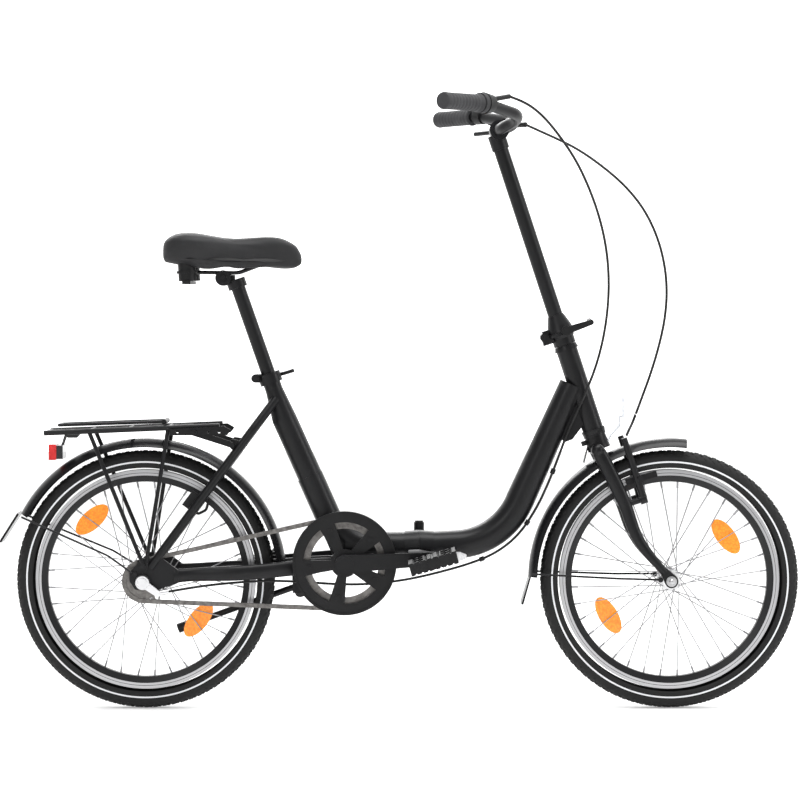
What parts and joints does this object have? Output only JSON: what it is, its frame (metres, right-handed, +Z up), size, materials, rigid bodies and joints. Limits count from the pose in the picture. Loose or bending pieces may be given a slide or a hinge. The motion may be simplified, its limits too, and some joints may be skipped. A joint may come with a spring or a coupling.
{
  "type": "folding bicycle",
  "caption": "Low-step folding city bicycle with small wheels, a rear rack, mudguards, chain drive and a folding handlepost.",
  "frame": {"origin": "on the ground, midway along and across the bicycle's bounding box", "axes": "+X forward, +Y to the rider's left, +Z up; the chain side is -Y"},
  "size_m": [1.544, 0.6044, 1.1765],
  "materials": {
    "black_paint": "satin black powder coat",
    "black_plastic": "moulded black plastic",
    "tyre_rubber": "black tyre rubber with a white reflecting line",
    "silver_alloy": "bright aluminium",
    "rim_alloy": "black rim with bright braking tracks",
    "steel": "zinc plated steel",
    "chain_steel": "oiled dark steel",
    "chrome": "polished spokes and nipples",
    "orange_reflector": "clear amber reflector",
    "clear_reflector": "clear reflector",
    "red_lens": "red reflector",
    "saddle_vinyl": "soft black vinyl",
    "grip_rubber": "dark grey grip rubber"
  },
  "bodies": {
    "rear_frame": {"rear_frame": "black_paint", "hinge_pin": "black_paint", "bottom_bracket_cups": "steel", "rear_axle": "steel", "bell_crank": "silver_alloy", "rear_mudguard": "black_plastic", "rack": "black_paint", "tail_light": "red_lens", "kickstand_bracket": "black_paint", "chain": "chain_steel", "seat_clamp": "black_paint", "ring_lock": "black_plastic"},
    "rack_clip": {"rack_clip": "black_paint"},
    "kickstand": {"kickstand_leg": "black_paint"},
    "seat_clamp_lever": {"seat_clamp_lever": "black_plastic"},
    "seatpost": {"seatpost": "black_paint", "saddle_clamp": "steel", "saddle_base": "black_plastic", "saddle_cover": "saddle_vinyl"},
    "rear_wheel": {"rear_hub": "silver_alloy", "rear_spokes": "chrome", "rear_rim": "rim_alloy", "rear_tyre": "tyre_rubber", "rear_wheel_reflectors": "orange_reflector"},
    "sprocket": {"sprocket": "chain_steel"},
    "crankset": {"crank_spindle": "steel", "cranks": "black_paint", "chainring": "chain_steel", "chain_guard": "black_plastic", "pedal_axles": "steel"},
    "pedal_right": {"pedal_right": "black_plastic"},
    "pedal_left": {"pedal_left": "black_plastic"},
    "front_frame": {"front_frame": "black_paint", "headset_cups": "black_paint", "cable_clips": "black_plastic", "shift_cable": "black_plastic"},
    "frame_latch": {"frame_latch": "silver_alloy"},
    "fork": {"fork": "black_paint", "front_axle": "steel", "front_mudguard": "black_plastic", "front_reflector": "clear_reflector", "stem_base": "black_paint"},
    "front_wheel": {"front_hub": "silver_alloy", "front_spokes": "chrome", "front_rim": "rim_alloy", "front_tyre": "tyre_rubber", "front_wheel_reflectors": "orange_reflector"},
    "brake_arm_right": {"brake_arm_right": "black_paint"},
    "brake_arm_left": {"brake_arm_left": "black_paint"},
    "handlepost": {"handlepost": "black_paint", "bar_clamp": "black_paint", "handlebar": "black_paint", "grips": "grip_rubber", "shifter_body": "black_plastic", "brake_perch": "black_plastic", "brake_cable": "black_plastic"},
    "stem_latch": {"stem_latch": "black_plastic"},
    "shifter_ring": {"shifter_ring": "grip_rubber"},
    "brake_lever": {"brake_lever": "black_paint"}
  },
  "joints": [
    {"name": "seatpost_slide", "type": "slide", "parent": "rear_frame", "child": "seatpost", "axis": [-0.3305, 0, 0.9438], "range_m": [-0.1, 0.02]},
    {"name": "rear_wheel_spin", "type": "hinge", "parent": "rear_frame", "child": "rear_wheel", "pos_m": [-0.491, 0, 0.25], "axis": [0, 1, 0], "continuous": true},
    {"name": "crank_spin", "type": "hinge", "parent": "rear_frame", "child": "crankset", "pos_m": [-0.1055, 0, 0.285], "axis": [0, 1, 0], "continuous": true, "deforming": ["chain"]},
    {"name": "sprocket_spin", "type": "hinge", "parent": "rear_frame", "child": "sprocket", "pos_m": [-0.491, 0, 0.25], "axis": [0, 1, 0], "continuous": true},
    {"name": "pedal_right_spin", "type": "hinge", "parent": "crankset", "child": "pedal_right", "pos_m": [0.06418, 0, 0.29538], "axis": [0, 1, 0], "continuous": true},
    {"name": "pedal_left_spin", "type": "hinge", "parent": "crankset", "child": "pedal_left", "pos_m": [-0.27518, 0, 0.27462], "axis": [0, 1, 0], "continuous": true},
    {"name": "kickstand_fold", "type": "hinge", "parent": "rear_frame", "child": "kickstand", "pos_m": [-0.196, 0.044, 0.233], "axis": [0.1386, -0.8768, -0.4604], "range_deg": [0, 65.8]},
    {"name": "seat_lever_open", "type": "hinge", "parent": "rear_frame", "child": "seat_clamp_lever", "pos_m": [-0.27799, 0.019, 0.63839], "axis": [-0.3305, 0, 0.9438], "range_deg": [0, 140]},
    {"name": "rack_clip_open", "type": "hinge", "parent": "rear_frame", "child": "rack_clip", "pos_m": [-0.452, 0, 0.556], "axis": [0, 1, 0], "range_deg": [0, 70], "stiffness_Nm_per_rad": 0.6, "springref_deg": -22.92},
    {"name": "frame_fold", "type": "hinge", "parent": "rear_frame", "child": "front_frame", "pos_m": [0.038, 0.037, 0.314], "axis": [0, 0, -1], "range_deg": [-140, 0], "deforming": ["shift_cable"]},
    {"name": "frame_latch_open", "type": "hinge", "parent": "rear_frame", "child": "frame_latch", "pos_m": [0.021, -0.0482, 0.302], "axis": [0, -0.9397, -0.3419], "range_deg": [0, 100]},
    {"name": "steering", "type": "hinge", "parent": "front_frame", "child": "fork", "pos_m": [0.374, 0, 0.54], "axis": [-0.314, 0, 0.9494], "range_deg": [-60, 60]},
    {"name": "front_wheel_spin", "type": "hinge", "parent": "fork", "child": "front_wheel", "pos_m": [0.522, 0, 0.25], "axis": [0, 1, 0], "continuous": true},
    {"name": "handlepost_fold", "type": "hinge", "parent": "fork", "child": "handlepost", "pos_m": [0.27955, 0, 0.71731], "axis": [0, -1, 0], "range_deg": [0, 120], "deforming": ["brake_cable"]},
    {"name": "stem_latch_open", "type": "hinge", "parent": "fork", "child": "stem_latch", "pos_m": [0.32037, -0.033, 0.73081], "axis": [0, -1, 0], "range_deg": [0, 55]},
    {"name": "shifter_twist", "type": "hinge", "parent": "handlepost", "child": "shifter_ring", "pos_m": [0.15124, -0.20488, 1.15492], "axis": [-0.6418, -0.7668, -0.0083], "range_deg": [0, 60]},
    {"name": "brake_lever_pull", "type": "hinge", "parent": "handlepost", "child": "brake_lever", "pos_m": [0.20151, 0.20561, 1.13506], "axis": [0, 0, 1], "range_deg": [0, 15], "stiffness_Nm_per_rad": 2, "springref_deg": -6.88},
    {"name": "brake_right", "type": "hinge", "parent": "fork", "child": "brake_arm_right", "pos_m": [0.46938, -0.041, 0.40765], "axis": [-0.9494, 0, -0.314], "range_deg": [0, 1.8]},
    {"name": "brake_left", "type": "hinge", "parent": "fork", "child": "brake_arm_left", "pos_m": [0.46938, 0.041, 0.40765], "axis": [0.9494, 0, 0.314], "range_deg": [0, 1.8]}
  ],
  "couplings": [
    {"joint": "sprocket_spin", "follows": "crank_spin", "ratio": 2.3158},
    {"joint": "brake_right", "follows": "brake_lever_pull", "ratio": 0.12},
    {"joint": "brake_left", "follows": "brake_lever_pull", "ratio": 0.12}
  ]
}
